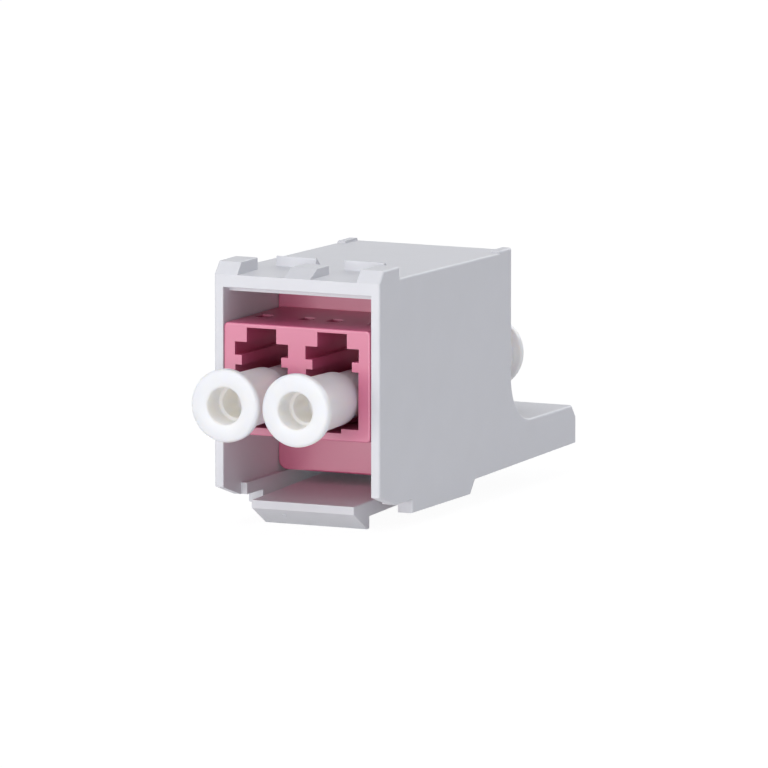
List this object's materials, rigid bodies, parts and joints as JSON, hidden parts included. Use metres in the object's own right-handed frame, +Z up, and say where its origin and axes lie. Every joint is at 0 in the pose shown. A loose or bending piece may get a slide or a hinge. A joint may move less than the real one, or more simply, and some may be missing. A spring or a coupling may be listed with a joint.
{
  "type": "duplex fibre optic adapter in a snap-in panel housing",
  "caption": "Snap-in panel housing with a sprung latch tongue and a rear shelf, holding a duplex fibre adapter for small ferrules with pull-off dust caps.",
  "frame": {"origin": "on the adapter's front face, midway between the two port axes", "axes": "+Y from the front face to the back, +X across the ports, +Z up"},
  "size_m": [0.0146, 0.0447, 0.0214],
  "materials": {
    "housing_white": "fine satin moulded plastic, cool white",
    "shell_violet": "satin moulded plastic, red violet",
    "cap_white": "soft, slightly glossy moulded plastic, warm white",
    "seat_natural": "satin moulded plastic, as the shells",
    "sleeve_ceramic": "polished white zirconia"
  },
  "bodies": {
    "housing": {"panel_housing": "housing_white", "adapter_front_shell": "shell_violet", "adapter_rear_shell": "shell_violet", "sleeve_seat_front": "seat_natural", "sleeve_seat_rear": "seat_natural", "split_sleeve_left": "sleeve_ceramic", "split_sleeve_right": "sleeve_ceramic"},
    "latch": {"panel_latch": "housing_white"},
    "cap_front_left": {"dust_cap_front_left": "cap_white"},
    "cap_front_right": {"dust_cap_front_right": "cap_white"},
    "cap_rear_left": {"dust_cap_rear_left": "cap_white"},
    "cap_rear_right": {"dust_cap_rear_right": "cap_white"}
  },
  "joints": [
    {"name": "latch_flex", "type": "hinge", "parent": "housing", "child": "latch", "pos_m": [0, 0.0169, -0.00887], "axis": [-1, 0, 0], "range_deg": [0, 4.5], "stiffness_Nm_per_rad": 0.79},
    {"name": "cap_front_left_pull", "type": "slide", "parent": "housing", "child": "cap_front_left", "axis": [0, -1, 0], "range_m": [0, 0.0105]},
    {"name": "cap_front_right_pull", "type": "slide", "parent": "housing", "child": "cap_front_right", "axis": [0, -1, 0], "range_m": [0, 0.0105]},
    {"name": "cap_rear_left_pull", "type": "slide", "parent": "housing", "child": "cap_rear_left", "axis": [0, 1, 0], "range_m": [0, 0.0105]},
    {"name": "cap_rear_right_pull", "type": "slide", "parent": "housing", "child": "cap_rear_right", "axis": [0, 1, 0], "range_m": [0, 0.0105]}
  ]
}
